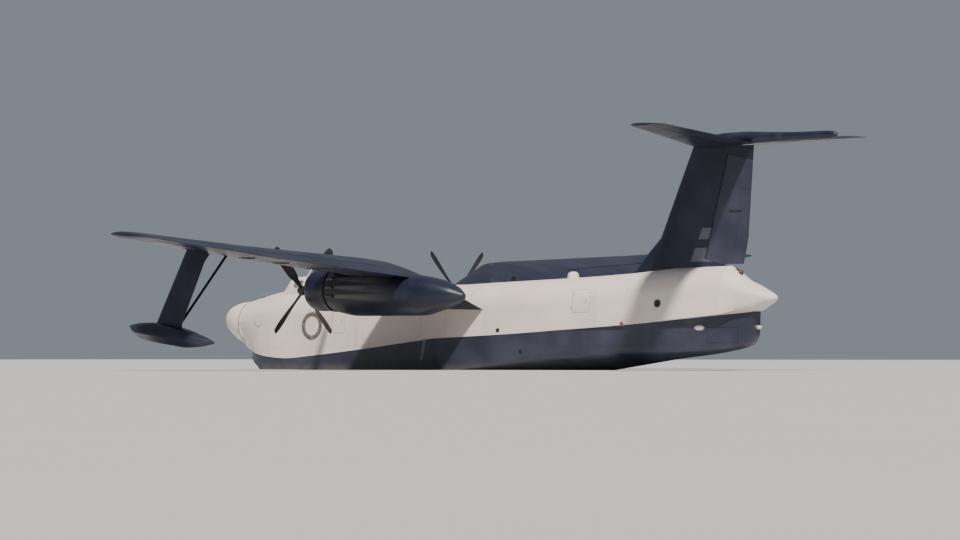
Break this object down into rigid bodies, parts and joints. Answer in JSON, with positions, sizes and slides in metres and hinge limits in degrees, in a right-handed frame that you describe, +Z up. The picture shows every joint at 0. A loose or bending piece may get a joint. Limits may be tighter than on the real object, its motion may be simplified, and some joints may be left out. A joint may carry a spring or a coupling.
{
  "type": "twin-engined patrol flying boat",
  "caption": "Patrol flying boat with a deep stepped hull, gull wing, radial engines, wing floats on pylons and a tall T-tail.",
  "frame": {"origin": "on the waterline, at the main step, on the centreline", "axes": "+X to the bow, +Y to port, +Z up"},
  "size_m": [30.61, 36.02, 10.142],
  "materials": {
    "white_paint": "weathered semi-gloss white",
    "blue_paint": "gloss dark sea blue, dulled by spray",
    "window_glass": "clear",
    "seat_fabric": "matte",
    "black_paint": "matte black",
    "engine_metal": "dull cast metal",
    "lamp_lens": "clear lens"
  },
  "bodies": {
    "airframe": {"nose_radome": "white_paint", "hull_bottom": "blue_paint", "fuselage_upper": "white_paint", "tail_cone": "white_paint", "flight_deck": "white_paint", "flight_deck_glass": "window_glass", "pilot_seat_left": "seat_fabric", "pilot_seat_right": "seat_fabric", "instrument_panel": "black_paint", "wing_inner_left": "blue_paint", "wing_inner_right": "blue_paint", "wing_outer_left": "blue_paint", "wing_outer_right": "blue_paint", "nacelle_left": "blue_paint", "nacelle_right": "blue_paint", "cowl_left": "blue_paint", "cowl_right": "blue_paint", "engine_left": "engine_metal", "engine_right": "engine_metal", "wing_float_left": "blue_paint", "wing_float_right": "blue_paint", "float_pylon_left": "blue_paint", "float_pylon_right": "blue_paint", "float_brace_left": "blue_paint", "float_brace_right": "blue_paint", "fin": "blue_paint", "tailplane": "blue_paint", "tail_boom": "blue_paint", "searchlight": "black_paint", "dorsal_dome": "white_paint", "tail_light": "black_paint", "stern_light": "lamp_lens"},
    "propeller_left": {"propeller_left": "black_paint"},
    "propeller_right": {"propeller_right": "black_paint"},
    "flap_left": {"flap_left": "blue_paint"},
    "flap_right": {"flap_right": "blue_paint"},
    "aileron_left": {"aileron_left": "blue_paint"},
    "aileron_right": {"aileron_right": "blue_paint"},
    "rudder": {"rudder": "blue_paint"},
    "elevator_left": {"elevator_left": "blue_paint"},
    "elevator_right": {"elevator_right": "blue_paint"},
    "hydroflap_left": {"hydroflap_left": "blue_paint"},
    "hydroflap_right": {"hydroflap_right": "blue_paint"},
    "bay_door_inner_left": {"bay_door_inner_left": "blue_paint"},
    "bay_door_inner_right": {"bay_door_inner_right": "blue_paint"},
    "bay_door_outer_left": {"bay_door_outer_left": "blue_paint"},
    "bay_door_outer_right": {"bay_door_outer_right": "blue_paint"}
  },
  "joints": [
    {"name": "propeller_left_spin", "type": "hinge", "parent": "airframe", "child": "propeller_left", "pos_m": [4.04, 4.6, 3.09], "axis": [1, 0, 0], "continuous": true},
    {"name": "propeller_right_spin", "type": "hinge", "parent": "airframe", "child": "propeller_right", "pos_m": [4.04, -4.6, 3.09], "axis": [1, 0, 0], "continuous": true},
    {"name": "flap_left_swing", "type": "hinge", "parent": "airframe", "child": "flap_left", "pos_m": [-0.84574, 5.7, 3.78697], "axis": [-0.0315, -0.9963, -0.0798], "range_deg": [0, 40]},
    {"name": "flap_right_swing", "type": "hinge", "parent": "airframe", "child": "flap_right", "pos_m": [-0.84574, -5.7, 3.78697], "axis": [0.0315, -0.9963, 0.0798], "range_deg": [0, 40]},
    {"name": "aileron_left_swing", "type": "hinge", "parent": "airframe", "child": "aileron_left", "pos_m": [-0.85406, 12.47, 4.30942], "axis": [0.0727, 0.9926, 0.0968], "range_deg": [-20, 20]},
    {"name": "aileron_right_swing", "type": "hinge", "parent": "airframe", "child": "aileron_right", "pos_m": [-0.85406, -12.47, 4.30942], "axis": [-0.0727, 0.9926, -0.0968], "range_deg": [-20, 20]},
    {"name": "rudder_swing", "type": "hinge", "parent": "airframe", "child": "rudder", "pos_m": [-12.28885, 0, 4.15], "axis": [-0.2629, 0, 0.9648], "range_deg": [-25, 25]},
    {"name": "elevator_left_swing", "type": "hinge", "parent": "airframe", "child": "elevator_left", "pos_m": [-13.52425, 0.42, 8.47879], "axis": [-0.1787, 0.9816, 0.0673], "range_deg": [-20, 25]},
    {"name": "elevator_right_swing", "type": "hinge", "parent": "airframe", "child": "elevator_right", "pos_m": [-13.52425, -0.42, 8.47879], "axis": [0.1787, 0.9816, -0.0673], "range_deg": [-20, 25]},
    {"name": "hydroflap_left_swing", "type": "hinge", "parent": "airframe", "child": "hydroflap_left", "pos_m": [-12.75, 0.59416, 1.03], "axis": [0, -0.0389, -0.9992], "range_deg": [0, 45]},
    {"name": "hydroflap_right_swing", "type": "hinge", "parent": "airframe", "child": "hydroflap_right", "pos_m": [-12.75, -0.59416, 1.03], "axis": [0, -0.0389, 0.9992], "range_deg": [0, 45]},
    {"name": "bay_door_outer_left_swing", "type": "hinge", "parent": "airframe", "child": "bay_door_outer_left", "pos_m": [-0.55, 5.15, 2.223], "axis": [1, 0, 0], "range_deg": [0, 80]},
    {"name": "bay_door_inner_left_swing", "type": "hinge", "parent": "airframe", "child": "bay_door_inner_left", "pos_m": [-0.55, 4.05, 2.223], "axis": [-1, 0, 0], "range_deg": [0, 80]},
    {"name": "bay_door_outer_right_swing", "type": "hinge", "parent": "airframe", "child": "bay_door_outer_right", "pos_m": [-0.55, -5.15, 2.223], "axis": [-1, 0, 0], "range_deg": [0, 80]},
    {"name": "bay_door_inner_right_swing", "type": "hinge", "parent": "airframe", "child": "bay_door_inner_right", "pos_m": [-0.55, -4.05, 2.223], "axis": [1, 0, 0], "range_deg": [0, 80]}
  ],
  "couplings": [
    {"joint": "flap_right_swing", "follows": "flap_left_swing", "ratio": 1},
    {"joint": "aileron_right_swing", "follows": "aileron_left_swing", "ratio": -1},
    {"joint": "elevator_right_swing", "follows": "elevator_left_swing", "ratio": 1},
    {"joint": "bay_door_inner_left_swing", "follows": "bay_door_outer_left_swing", "ratio": 1},
    {"joint": "bay_door_inner_right_swing", "follows": "bay_door_outer_right_swing", "ratio": 1}
  ]
}
